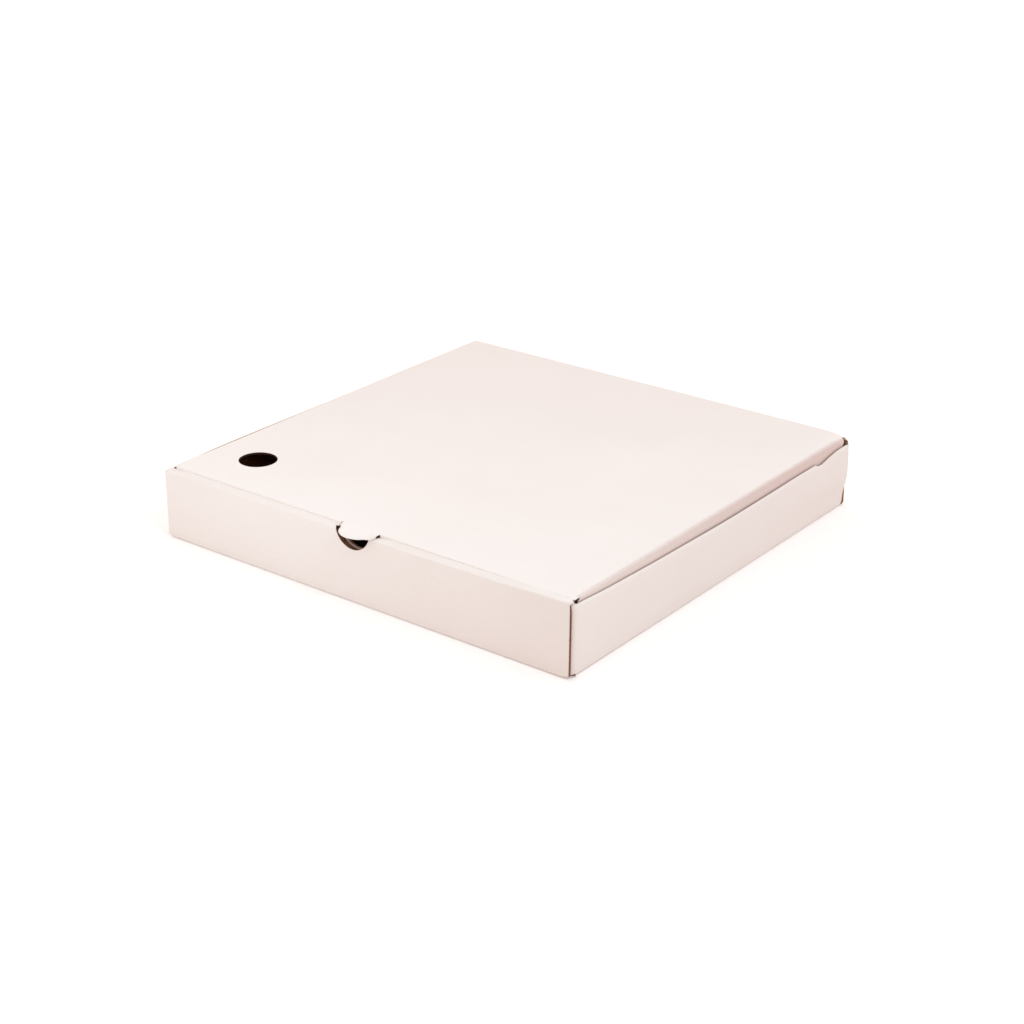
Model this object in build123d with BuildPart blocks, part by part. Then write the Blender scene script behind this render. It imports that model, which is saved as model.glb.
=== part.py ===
from build123d import *
from math import atan2, cos, degrees, radians, sin
import os

os.makedirs("parts", exist_ok=True)

# Twelve-inch pizza box folded from one sheet of fine-flute corrugated board.
# Millimetres. Z is up, X runs along the front wall, -Y is the front with the thumb notch.
# The origin is the middle of the underside.

# Board and folds
board = 1.5
layer_gap = 0.15
fold_outer_radius = 1.6
fold_inner_radius = 0.3
crease_outer_radius = 1.3
crease_inner_radius = 0.25

# Tray
box_width = 305
box_depth = 305
front_height = 44.5
hinge_height = 47.5
panel_rest_gap = 0.2
inner_panel_side_gap = 0.4

# Corner tabs of the side walls
tab_length = 62
tab_corner_cut = 7
tab_floor_gap = 0.3

# Locking feet of the inner front panel, standing in slots of the floor
lock_width = 34
lock_spacing = 150
lock_foot_lift = 0.1
slot_clearance = 0.25

# Thumb notch through the front wall
notch_radius = 12.8
notch_shift = -0.7
notch_rise = 2.5

# Clipped ends of the front and back walls
clip_front_right_width = 4
clip_front_left_width = 1
clip_front_height = 2.4
clip_back_size = 2
hinge_end_width = 3
hinge_end_drop = 5.5

# Top edges of the side walls: shares of the depth, and drops below the front wall
right_edge_front = [
    (-0.481, 0.6),
    (-0.45, 1.1),
    (-0.4, 2.1),
    (-0.32, 3),
    (-0.22, 3.9),
    (-0.11, 4.5),
    (0.01, 5.1),
    (0.12, 5),
    (0.21, 4.5),
    (0.3, 3.5),
    (0.358, 3.1),
]
right_edge_nick = [(0.358, 3.1), (0.373, 5.5), (0.385, 4.8), (0.41, 3.1)]
right_edge_rear = [(0.41, 3.1), (0.442, 1.6), (0.482, 1.1)]
left_edge = [
    (-0.481, 0.4),
    (-0.42, 0.2),
    (-0.34, -0.9),
    (-0.1, -1),
    (0.12, -0.9),
    (0.22, 0.1),
    (0.36, 0.8),
    (0.482, 1.9),
]

# Lid
lid_seat_gap = 0.15
lid_side_gap = 0.3
tuck_gap = 0.3
hinge_gap = 0.3

# Tuck flap along the front of the lid
tuck_depth = 32
tuck_lean = 4.5
tuck_end_gap = 1.6
tuck_corner_cut = 9

# Half-round tongue of the lid, and the opening it leaves in the tuck flap
tongue_radius = 13.2
tongue_shift = 2.7
tongue_cut_gap = 0.3
relief_width = 2
relief_height = 2.4

# Side flaps of the lid
side_flap_depth = 28
side_flap_shoulder = 4
side_flap_front_gap = 4.4
side_flap_back_gap = 6.5
side_flap_front_taper = 14
side_flap_back_taper = 7
side_flap_corner_radius = 4

# Steam vent in the lid
vent_diameter = 24
vent_from_left = 34.2
vent_from_front = 39.7

# Places that follow from the sizes above
half_width = box_width / 2
half_depth = box_depth / 2
fold_run = 2 * fold_outer_radius
wall_layers = 3 * board + 2 * layer_gap
front_inner_face = wall_layers - half_depth
band_underside = front_height - board
tab_face = half_depth - board - layer_gap
tab_top = band_underside - panel_rest_gap
tab_bottom = board + tab_floor_gap
corner_start = tab_face - fold_outer_radius
lock_middle = front_inner_face - board / 2
lid_depth = box_depth - wall_layers - tuck_gap
lid_half_width = half_width - board - lid_side_gap
lid_plate_half_width = lid_half_width - fold_outer_radius
lid_front_height = front_height + lid_seat_gap + board
lid_slope = atan2(hinge_height - lid_front_height, lid_depth)
tuck_lean_sine = sin(radians(tuck_lean))
tuck_lean_cosine = cos(radians(tuck_lean))

# Planes of the lid, all through its hinge line at the top of the back wall
lid_top_view = Plane(
    origin=(0, half_depth, hinge_height),
    x_dir=(1, 0, 0),
    z_dir=(0, -sin(lid_slope), cos(lid_slope)),
)
lid_side_view = Plane(
    origin=lid_top_view.origin,
    x_dir=lid_top_view.y_dir,
    z_dir=lid_top_view.x_dir,
)
lid_front_view = Plane(
    origin=lid_top_view.origin,
    x_dir=lid_top_view.x_dir,
    z_dir=-lid_top_view.y_dir,
)


def round_corner(section, place, radius):
    """Round the corner of an open section that lies nearest to a place."""
    fillet(section.vertices().sort_by_distance(place)[0], radius)


def edge_places(edge):
    """Turn shares of the depth and drops into places on a side wall."""
    return [(share * box_depth, front_height - drop) for share, drop in edge]


# Corner tab, with the upright bend that joins it to the side wall
with BuildPart() as corner_tab:
    with BuildSketch(Plane.XY.offset(tab_bottom)) as bend_section:
        with BuildLine():
            Polyline(
                (half_width, -corner_start),
                (half_width, -tab_face),
                (half_width - fold_run, -tab_face),
                (half_width - fold_run, -tab_face + board),
                (half_width - board, -tab_face + board),
                (half_width - board, -corner_start),
                close=True,
            )
        make_face()
        round_corner(bend_section, (half_width, -tab_face, 0), fold_outer_radius - 0.01)
    extrude(amount=tab_top - tab_bottom)
    with BuildSketch(Plane.XZ.offset(tab_face)):
        with BuildLine():
            Polyline(
                (half_width - fold_run, tab_bottom),
                (half_width - fold_run, tab_top),
                (half_width - tab_length + tab_corner_cut, tab_top),
                (half_width - tab_length, tab_top - tab_corner_cut),
                (half_width - tab_length, tab_bottom + tab_corner_cut),
                (half_width - tab_length + tab_corner_cut, tab_bottom),
                close=True,
            )
        make_face()
    extrude(amount=-board)

# Tray: floor, front wall rolled over the front tabs, back wall and side walls
with BuildPart() as tray:
    with BuildSketch(Plane.XY):
        Rectangle(box_width - fold_run, box_depth - fold_run)
    extrude(amount=board)

    # Front wall in one section: outer panel, fold band and inner panel
    with BuildSketch(Plane.YZ) as front_section:
        with BuildLine():
            Polyline(
                (-half_depth + fold_run, 0),
                (-half_depth, 0),
                (-half_depth, front_height),
                (front_inner_face, front_height),
                (front_inner_face, board + panel_rest_gap),
                (front_inner_face - board, board + panel_rest_gap),
                (front_inner_face - board, band_underside),
                (-half_depth + board, band_underside),
                (-half_depth + board, board),
                (-half_depth + fold_run, board),
                close=True,
            )
        make_face()
        round_corner(front_section, (-half_depth, 0, 0), fold_outer_radius)
        round_corner(front_section, (-half_depth + board, board, 0), fold_inner_radius)
        round_corner(front_section, (-half_depth, front_height, 0), crease_outer_radius)
        round_corner(front_section, (front_inner_face, front_height, 0), crease_outer_radius)
        round_corner(front_section, (-half_depth + board, band_underside, 0), crease_inner_radius)
        round_corner(front_section, (front_inner_face - board, band_underside, 0), crease_inner_radius)
    extrude(amount=half_width, both=True)

    # The inner panel is narrower than the band, so that it stands between the side walls
    inner_panel_inset = board + inner_panel_side_gap
    with BuildSketch(Plane.XY.offset(board)):
        for side in (-1, 1):
            with Locations((side * (half_width - inner_panel_inset / 2), lock_middle - layer_gap / 2)):
                Rectangle(inner_panel_inset, board + layer_gap)
    extrude(amount=band_underside - board, mode=Mode.SUBTRACT)

    # Thumb notch through all layers of the front wall
    with BuildSketch(Plane.XZ.offset(half_depth)):
        with Locations((notch_shift, front_height + notch_rise)):
            Circle(notch_radius)
    extrude(amount=-wall_layers, mode=Mode.SUBTRACT)

    # Slots of the floor, and the locking feet that stand in them
    with BuildSketch(Plane.XY):
        with GridLocations(lock_spacing, 1, 2, 1):
            with Locations((0, lock_middle)):
                Rectangle(lock_width + 2 * slot_clearance, board + 2 * slot_clearance)
    extrude(amount=board, mode=Mode.SUBTRACT)
    with BuildSketch(Plane.XY.offset(lock_foot_lift)):
        with GridLocations(lock_spacing, 1, 2, 1):
            with Locations((0, lock_middle)):
                Rectangle(lock_width, board)
    extrude(amount=board + panel_rest_gap)

    # Back wall up to the hinge line, where its top is cut at the mitre of the fold
    with BuildSketch(Plane.YZ) as back_section:
        with BuildLine():
            Polyline(
                (half_depth - fold_run, 0),
                (half_depth, 0),
                (half_depth, hinge_height),
                (half_depth - board, hinge_height - board),
                (half_depth - board, board),
                (half_depth - fold_run, board),
                close=True,
            )
        make_face()
        round_corner(back_section, (half_depth, 0, 0), fold_outer_radius)
        round_corner(back_section, (half_depth - board, board, 0), fold_inner_radius)
    extrude(amount=half_width, both=True)

    # Clipped lower corners of the front wall
    with BuildSketch(Plane.XZ.offset(half_depth)):
        with BuildLine():
            Polyline(
                (half_width, 0),
                (half_width, clip_front_height),
                (half_width - clip_front_right_width, 0),
                close=True,
            )
        make_face()
        with BuildLine():
            Polyline(
                (-half_width, 0),
                (-half_width, clip_front_height),
                (-half_width + clip_front_left_width, 0),
                close=True,
            )
        make_face()
    extrude(amount=-fold_run, mode=Mode.SUBTRACT)

    # Clipped lower corners of the back wall and sloped ends of its top
    with BuildSketch(Plane.XZ.offset(-half_depth)) as back_clips:
        with BuildLine():
            Polyline(
                (half_width, 0),
                (half_width, clip_back_size),
                (half_width - clip_back_size, 0),
                close=True,
            )
        make_face()
        with BuildLine():
            Polyline(
                (half_width, hinge_height),
                (half_width, hinge_height - hinge_end_drop),
                (half_width - hinge_end_width, hinge_height),
                close=True,
            )
        make_face()
        mirror(about=Plane.YZ)
    extrude(amount=fold_run, mode=Mode.SUBTRACT)

    # Lower bends of the side walls
    with BuildSketch(Plane.XZ.offset(corner_start)) as side_section:
        with BuildLine():
            Polyline(
                (half_width - fold_run, 0),
                (half_width, 0),
                (half_width, fold_run),
                (half_width - board, fold_run),
                (half_width - board, board),
                (half_width - fold_run, board),
                close=True,
            )
        make_face()
        round_corner(side_section, (half_width, 0, 0), fold_outer_radius)
        round_corner(side_section, (half_width - board, board, 0), fold_inner_radius)
        mirror(about=Plane.YZ)
    extrude(amount=-2 * corner_start)

    # Right side wall, with a pressed nick near the back of its top edge
    with BuildSketch(Plane.YZ.offset(half_width)):
        with BuildLine():
            front_edge = Spline(*edge_places(right_edge_front))
            Polyline(*edge_places(right_edge_nick))
            rear_edge = Spline(*edge_places(right_edge_rear))
            Polyline(
                rear_edge @ 1,
                (corner_start, tab_top),
                (corner_start, fold_run),
                (-corner_start, fold_run),
                (-corner_start, tab_top),
                (front_inner_face + inner_panel_side_gap, tab_top),
                front_edge @ 0,
            )
        make_face()
    extrude(amount=-board)

    # Left side wall
    with BuildSketch(Plane.YZ.offset(-half_width)):
        with BuildLine():
            top_edge = Spline(*edge_places(left_edge))
            Polyline(
                top_edge @ 1,
                (corner_start, tab_top),
                (corner_start, fold_run),
                (-corner_start, fold_run),
                (-corner_start, tab_top),
                (front_inner_face + inner_panel_side_gap, tab_top),
                top_edge @ 0,
            )
        make_face()
    extrude(amount=board)

    # Corner tabs inside the front and back walls
    front_tabs = corner_tab.part + corner_tab.part.mirror(Plane.YZ)
    add(front_tabs)
    mirror(front_tabs, about=Plane.XZ)
tray.part.label = "tray"

# Tuck flap of the lid with the bend that joins it, leaning inward to clear the front wall
with BuildPart() as tuck_flap:
    with BuildSketch(lid_side_view) as tuck_section:
        tuck_inner_corner = -lid_depth + board * (1 + tuck_lean_sine) / tuck_lean_cosine
        tuck_edge = -lid_depth + tuck_depth * tuck_lean_sine
        tuck_edge_height = -tuck_depth * tuck_lean_cosine
        with BuildLine():
            Polyline(
                (-lid_depth + fold_run, 0),
                (-lid_depth, 0),
                (tuck_edge, tuck_edge_height),
                (tuck_edge + board * tuck_lean_cosine, tuck_edge_height + board * tuck_lean_sine),
                (tuck_inner_corner, -board),
                (-lid_depth + fold_run, -board),
                close=True,
            )
        make_face()
        round_corner(tuck_section, (-lid_depth, 0, 0), crease_outer_radius)
        round_corner(tuck_section, (tuck_inner_corner, -board, 0), crease_inner_radius)
    extrude(amount=lid_plate_half_width, both=True)

    # Outline with cut corners, the opening left by the tongue and the tear relief beside it
    tuck_half_width = lid_plate_half_width - tuck_end_gap
    with BuildSketch(lid_front_view.offset(lid_depth + board)):
        with BuildLine():
            Polyline(
                (-tuck_half_width, board),
                (-tuck_half_width, -tuck_depth + tuck_corner_cut),
                (-tuck_half_width + tuck_corner_cut, -tuck_depth),
                (tuck_half_width - tuck_corner_cut, -tuck_depth),
                (tuck_half_width, -tuck_depth + tuck_corner_cut),
                (tuck_half_width, board),
                close=True,
            )
        make_face()
        with Locations((tongue_shift, 0)):
            Circle(tongue_radius + tongue_cut_gap, mode=Mode.SUBTRACT)
        relief_start = tongue_shift + tongue_radius
        with BuildLine():
            Polyline(
                (relief_start, board),
                (relief_start + relief_width, board),
                (relief_start + relief_width, 0),
                (relief_start, -relief_height),
                close=True,
            )
        make_face(mode=Mode.SUBTRACT)
    extrude(amount=-(board + tuck_depth), mode=Mode.INTERSECT)

# Side flap of the lid with the bend that joins it
with BuildPart() as side_flap:
    with BuildSketch(lid_front_view.offset(side_flap_back_gap)) as flap_section:
        with BuildLine():
            Polyline(
                (lid_half_width - fold_run, 0),
                (lid_half_width, 0),
                (lid_half_width, -side_flap_depth),
                (lid_half_width - board, -side_flap_depth),
                (lid_half_width - board, -board),
                (lid_half_width - fold_run, -board),
                close=True,
            )
        make_face()
        round_corner(flap_section, (lid_half_width, 0, 0), fold_outer_radius)
        round_corner(flap_section, (lid_half_width - board, -board, 0), fold_inner_radius)
    flap_length = lid_depth - side_flap_front_gap - side_flap_back_gap
    extrude(amount=flap_length)

    # Outline with tapered and rounded ends
    with BuildSketch(lid_side_view) as flap_outline:
        flap_front = -lid_depth + side_flap_front_gap
        with BuildLine():
            Polyline(
                (flap_front, board),
                (flap_front, -side_flap_shoulder),
                (flap_front + side_flap_front_taper, -side_flap_depth),
                (-side_flap_back_gap - side_flap_back_taper, -side_flap_depth),
                (-side_flap_back_gap, -side_flap_shoulder),
                (-side_flap_back_gap, board),
                close=True,
            )
        make_face()
        front_end = (flap_front + side_flap_front_taper, -side_flap_depth, 0)
        round_corner(flap_outline, front_end, side_flap_corner_radius)
        back_end = (-side_flap_back_gap - side_flap_back_taper, -side_flap_depth, 0)
        round_corner(flap_outline, back_end, side_flap_corner_radius)
    extrude(amount=half_width, mode=Mode.INTERSECT)

# Lid: top panel with tongue and vent, tuck flap and two side flaps
with BuildPart() as lid:
    with BuildSketch(lid_side_view):
        with BuildLine():
            Polyline(
                (-lid_depth + fold_outer_radius, 0),
                (-hinge_gap, 0),
                (-hinge_gap - board, -board),
                (-lid_depth + fold_outer_radius, -board),
                close=True,
            )
        make_face()
    extrude(amount=lid_plate_half_width, both=True)

    # Half-round tongue
    with BuildSketch(lid_top_view):
        with Locations((tongue_shift, -lid_depth)):
            Circle(tongue_radius)
            Rectangle(2 * tongue_radius, fold_run, align=(Align.CENTER, Align.MIN))
    extrude(amount=-board)

    add(tuck_flap.part)
    add(side_flap.part)
    mirror(side_flap.part, about=Plane.YZ)

    # Steam vent
    with BuildSketch(lid_top_view):
        with Locations((vent_from_left - lid_half_width, vent_from_front - lid_depth)):
            Circle(vent_diameter / 2)
    extrude(amount=-board, mode=Mode.SUBTRACT)
lid.part.label = "lid"

export_step(tray.part, "parts/tray.step")
export_step(lid.part, "parts/lid.step")
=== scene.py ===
from math import asin, atan2, ceil, cos, pi, radians, sin, sqrt, tan

import bpy
import bmesh
import numpy as np
from mathutils.geometry import delaunay_2d_cdt
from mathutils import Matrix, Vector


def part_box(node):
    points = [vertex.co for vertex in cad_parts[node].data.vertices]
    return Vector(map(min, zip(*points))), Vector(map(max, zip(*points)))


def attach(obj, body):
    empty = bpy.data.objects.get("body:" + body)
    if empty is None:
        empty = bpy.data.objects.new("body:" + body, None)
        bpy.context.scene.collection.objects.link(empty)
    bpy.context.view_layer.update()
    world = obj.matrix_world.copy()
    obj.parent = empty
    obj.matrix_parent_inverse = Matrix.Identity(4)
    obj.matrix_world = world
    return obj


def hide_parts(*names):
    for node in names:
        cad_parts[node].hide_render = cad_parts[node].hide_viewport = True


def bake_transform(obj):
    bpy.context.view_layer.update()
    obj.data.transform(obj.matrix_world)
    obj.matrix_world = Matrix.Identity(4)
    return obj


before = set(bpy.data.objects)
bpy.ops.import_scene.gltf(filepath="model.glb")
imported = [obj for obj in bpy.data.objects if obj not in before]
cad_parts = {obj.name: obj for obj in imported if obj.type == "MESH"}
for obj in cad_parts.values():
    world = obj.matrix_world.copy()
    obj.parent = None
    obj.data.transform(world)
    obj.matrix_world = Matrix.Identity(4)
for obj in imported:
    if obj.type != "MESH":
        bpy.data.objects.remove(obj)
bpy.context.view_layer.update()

# A twelve-inch pizza box of white-lined fine-flute board. Sizes are in millimetres, as in the part's
# source, and become metres where a mesh, a lamp or the camera is made.
MM = 0.001

# Board
board = 1.5
liner = 0.22
pressed_liner = 0.1
edge_dip = 0.12
edge_rounding = 0.8
rolled_dip = 1.15
wrapped_dip = 1.3
rolled_width = 1.6
rolled_wear = 0.3
groove_depth = 1.8
flute_pitch = 3.4
flute_paper = 0.17

# Tray
tray_low, tray_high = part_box("tray")
half_width = tray_high.x / MM
half_depth = tray_high.y / MM
front_height = 44.5
hinge_height = tray_high.z / MM
layer_gap = 0.15
fold_radius = 1.6
front_corner_radius = 4.5
back_corner_radius = 3
crease_radius = 1
groove_radius = 0.1
inner_crease_radius = 0.1
panel_rest_gap = 0.2
inner_panel_side_gap = 0.4
tab_length = 62
tab_corner_cut = 7
tab_bottom = 1.8
foot_lift = 0.1
foot_width = 34
foot_spacing = 150
slot_clearance = 0.25
notch_radius = 12.8
notch_shift = -0.7
notch_rise = 2.5
notch_tear = (-15.3, 2.2)
inner_notch_extra = 0.8
notch_end_step = 1
clip_right_width = 4
clip_left_width = 1
clip_front_height = 2.4
clip_back_size = 0.8
hinge_end_width = 3
hinge_end_drop = 5.5
wall_path_room = 3

# Top edges of the side walls: shares of the depth, and drops below the front wall
right_edge_front = [
    (-0.481, 0.6), (-0.45, 1.1), (-0.4, 2.1), (-0.32, 3), (-0.22, 3.9), (-0.11, 4.5),
    (0.01, 5.1), (0.12, 5), (0.21, 4.5), (0.3, 3.5), (0.358, 3.1),
]
right_edge_nick = [(0.358, 3.1), (0.367, 4.6), (0.382, 4.9), (0.41, 3.1)]
right_edge_rear = [(0.41, 3.1), (0.442, 1.6), (0.482, 1.1)]
right_edge_sag = 0.8
left_edge = [
    (-0.481, 0.4), (-0.45, 0.1), (-0.4, -0.75), (-0.3, -1.2), (-0.1, -1.2),
    (0.12, -1.1), (0.22, -0.3), (0.3, 0.3), (0.36, 0.8), (0.482, 1.9),
]

# Lid
lid_seat_gap = 0.15
lid_side_gap = 0.3
tuck_gap = 0.02
crease_strip = 2
tuck_upright = 4
tuck_bend_radius = 5
tuck_depth = 28
tuck_lean = radians(4.5)
tuck_end_gap = 1.6
tuck_corner_cut = 9
tongue_radius = 12.8
tongue_shift = 2.9
tongue_straight = 1.2
tongue_cut_gap = 0.3
tongue_slit = 0.1
tongue_flare = [(-13.3, 0), (-11.6, 1.6), (-10.4, 3.2)]
tongue_pale_angle = radians(14.5)
# The last part of the tongue's arc, drawn near-black as painted shade
tongue_dark_angle = radians(9.4)
tongue_crush = 0.65
crush_width = 2
crush_end = 14.5
crush_fade = 2
side_flap_depth = 28
side_flap_shoulder = 4
side_flap_front_gap = 4.4
side_flap_back_gap = 8
left_flap_top_front_gap = 1.8
right_flap_top_front_gap = 4.6
right_ear_width = 2.4
side_flap_top_back_gap = 3.2
side_flap_lean = radians(3)
side_flap_front_taper = 14
side_flap_back_taper = 7
side_flap_corner_radius = 4
flap_follow_depth = 3
# Painted shade along the side flaps' creases: its width, and its share at the front
flap_shade_width = 1.2
flap_shade_front = 0.35
vent_radius = 12
vent_from_left = 34.6
vent_from_front = 39.05
hinge_reach = 2.2

# How far the front fold and the lid side of its band stand above the front height, across the box
fold_rise = [
    (-152.5, -0.3), (-125, -0.8), (-100, -0.95), (-60, -0.6), (-20, -0.4), (0, -0.35), (13, 0.1), (25, -0.5),
    (55, -0.3), (80, 0.05), (104, 0.15), (118, 0.5), (130, 1.1), (142, 1.15), (152.5, 1.7),
]
band_rise = [
    (-152.5, 0.2), (-146, 0.3), (-138, 1), (-30, 1.1), (-18, 0.9), (-14.5, 0), (0, -0.5), (14.5, -0.45),
    (17, 0), (24, 1), (60, 1.15), (90, 1.4), (110, 1.62), (152.5, 1.62),
]
ridge_width = 0.3
band_reach = 1

# How far the right wall leans out, its share at each height, the start and width of its growth across
# and along, and the low corner, along and up, of the part that needs more points
wall_lean = 2.75
lean_heights = [
    (0, 0), (2.4, 0), (8.3, 0.09), (14.3, 0.5), (20.2, 0.93), (26.2, 1), (32, 0.95), (41, 0.73), (50, 0.7),
]
lean_across = (120, 30)
lean_along = (40, 110)
lean_area = (40, 4)

# How far the board sinks at the lid's right back corner, the start and width of its growth across, along
# and up, and the size of the part of the lid that needs more points
corner_droop = 1.6
droop_across = (138, 13)
droop_along = (136, 16)
droop_up = (41, 4)
droop_area = (16, 20)

# Ends of the front and back walls: how much is trimmed off, how far the brown paper spreads out, where
# that starts and how soon it is full, and the raised part of the right front tab
back_wall_trim = 1.3
back_wall_low_trim = 0.5
front_wall_trim = 0.7
band_end_trim = 1
front_end_spread = 0.8
back_end_spread = 0.8
hinge_end_spread = 2
spread_across = (149, 2.5)
spread_below_band = (1, 2)
hinge_spread_across = (147, 2)
hinge_spread_along = (147.5, 2)
hinge_spread_up = (38, 4)
raised_tab_top = 43.7
raised_tab_length = 22

# Places that follow from the sizes above
wall_layers = 3 * board + 2 * layer_gap
front_inner_face = wall_layers - half_depth
band_underside = front_height - board
tab_face = half_depth - board - layer_gap
tab_tip = half_width - tab_length
tab_top = band_underside - panel_rest_gap
front_corner_start = tab_face - front_corner_radius
back_corner_start = tab_face - back_corner_radius
floor_half_width = half_width - fold_radius
lid_depth = 2 * half_depth - wall_layers - tuck_gap
lid_half_width = half_width - board - lid_side_gap
plate_half_width = lid_half_width - fold_radius
lid_front_height = front_height + lid_seat_gap + board
lid_slope = atan2(hinge_height - lid_front_height, lid_depth)

# Studio
floor_reach = 2.0
floor_colour = (0.9, 0.87, 0.85, 1)
floor_drop = 0.0001
floor_glow = 0.2
floor_fade = (0.2, 0.75)
camera_lens = 70.66
camera_sensor = 36
camera_place = (0.69892, -0.93126, 0.51580)
camera_angles = (radians(66.3147), radians(-0.4772), radians(37.1586))
lamp_size = 0.35
# Name, place, target, power and tint of each lamp
lamps = [
    ("front_lamp", (-0.1, -0.45, 0.15), (-0.05, -0.1, 0.0), 0.522, (0.658, 0.895, 1.0)),
    ("high_lamp", (0.6, -0.3, 0.8), (0.05, -0.05, 0.0), 2.086, (0.505, 0.842, 1.0)),
]
sky_light = (0.840, 0.702, 0.662)
sky_slopes = [(-0.032, -0.082, -0.081), (0.394, 0.565, 0.636), (0.122, 0.185, 0.200)]

# Numbers of the finishes: white paper, brown paper, cut edge, and a cut edge painted near-black as shade
WHITE, BROWN, CUT, PAINTED_SHADE_CUT = range(4)

# Meshes: spacing of points along edges, arcs and bends, and the limits that keep corners clean
edge_step = 2.5
round_step = 0.8
grid_step = 11
dense_step = 3.1
bend_steps = 6
corner_steps = 8
corner_share = 0.4
middle_ring = 0.45
free_share = 0.4
mitre_limit = 0.45
weld_distance = 0.002
board_sharp_angle = radians(42)
flute_sharp_angle = radians(50)
flute_points = 12.0
flute_outer_share = 0.8


class FoldedSection:
    """Side view of a folded board: the white face is a path that turns left, the kraft face is inside."""

    def __init__(self, corners, radii):
        corners = [np.array(corner, float) for corner in corners]
        ways = [(b - a) / np.linalg.norm(b - a) for a, b in zip(corners, corners[1:])]
        sides = [np.array((-way[1], way[0])) for way in ways]
        self.white = [corners[0]]
        self.kraft = [corners[0] + board * sides[0]]
        self.places = [0.0]
        self.piece_starts = [(0.0, 0.0, 0.0)]
        for index, radius in enumerate(radii):
            way_in, side_in = ways[index], sides[index]
            side_out = sides[index + 1]
            turn = atan2(np.cross(way_in, ways[index + 1]), way_in @ ways[index + 1])
            inner_corner = corners[index + 1] + board * (side_in + side_out) / (1 + side_in @ side_out)
            inner_radius = max(radius - board, inner_crease_radius)
            reach = radius * tan(turn / 2)
            centre = corners[index + 1] - way_in * reach + side_in * radius
            inner_reach = inner_radius * tan(turn / 2)
            inner_centre = inner_corner - way_in * inner_reach + side_in * inner_radius
            arc = turn * (radius + inner_radius) / 2
            for step in range(bend_steps + 1):
                angle = turn * step / bend_steps
                spoke = np.array(
                    (
                        -side_in[0] * cos(angle) + side_in[1] * sin(angle),
                        -side_in[0] * sin(angle) - side_in[1] * cos(angle),
                    )
                )
                white = centre + radius * spoke
                if step == 0:
                    run = np.linalg.norm(white - self.white[-1])
                else:
                    run = arc / bend_steps
                self.white.append(white)
                self.kraft.append(inner_centre + inner_radius * spoke)
                self.places.append(self.places[-1] + run)
            self.piece_starts.append((self.places[-1], reach, arc))
        self.places.append(self.places[-1] + np.linalg.norm(corners[-1] - self.white[-1]))
        self.white.append(corners[-1])
        self.kraft.append(corners[-1] + board * sides[-1])
        self.white = np.array(self.white)
        self.kraft = np.array(self.kraft)
        self.length = self.places[-1]

    def place(self, piece, distance):
        """Length along the path of a point on a straight piece, given its distance from the sharp corner."""
        start, reach, arc = self.piece_starts[piece]
        if distance >= reach:
            return start + distance - reach
        return start - (1 - distance / reach) * arc / 2

    def at(self, place, share):
        """Points at given lengths and shares of the board's thickness, 0 on the white face."""
        faces = [
            np.stack([np.interp(place, self.places, face[:, axis]) for axis in (0, 1)], axis=-1)
            for face in (self.white, self.kraft)
        ]
        share = np.asarray(share, float)[..., None]
        return faces[0] * (1 - share) + faces[1] * share

    def rows(self):
        """Lengths at which the bends need rows of points."""
        return self.places[1:-1]


def straight(start, end, step=edge_step):
    """Points from start up to, not including, end."""
    start, end = np.array(start, float), np.array(end, float)
    count = max(1, ceil(np.linalg.norm(end - start) / step - 1e-6))
    return [start + (end - start) * index / count for index in range(count)]


def arc(centre, radius, first_angle, last_angle, step=round_step):
    """Points of an arc up to, not including, its last point."""
    count = max(2, ceil(abs(last_angle - first_angle) * radius / step))
    angles = [first_angle + (last_angle - first_angle) * index / count for index in range(count)]
    return [np.array((centre[0] + radius * cos(a), centre[1] + radius * sin(a))) for a in angles]


def on_circle(centre, radius, angle):
    """A point of a circle."""
    return (centre[0] + radius * cos(angle), centre[1] + radius * sin(angle))


def smooth_line(knots, step=edge_step):
    """Points of a smooth curve through the knots, up to, not including, the last."""
    knots = [np.array(knot, float) for knot in knots]
    padded = [2 * knots[0] - knots[1], *knots, 2 * knots[-1] - knots[-2]]
    points = []
    for before, a, b, after in zip(padded, padded[1:], padded[2:], padded[3:]):
        count = max(1, ceil(np.linalg.norm(b - a) / step))
        for index in range(count):
            t = index / count
            points.append(
                0.5
                * (
                    2 * a
                    + (b - before) * t
                    + (2 * before - 5 * a + 4 * b - after) * t**2
                    + (3 * a - before - 3 * b + after) * t**3
                )
            )
    return points


def inside(points, loops):
    """Which points lie inside the outline and outside its holes."""
    result = np.zeros(len(points), bool)
    for loop in loops:
        ends = np.roll(loop, -1, axis=0)
        for (x0, y0), (x1, y1) in zip(loop, ends):
            if y0 == y1:
                continue
            crosses = (points[:, 1] < y0) != (points[:, 1] < y1)
            at_x = x0 + (points[:, 1] - y0) * (x1 - x0) / (y1 - y0)
            result ^= crosses & (points[:, 0] < at_x)
    return result


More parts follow.
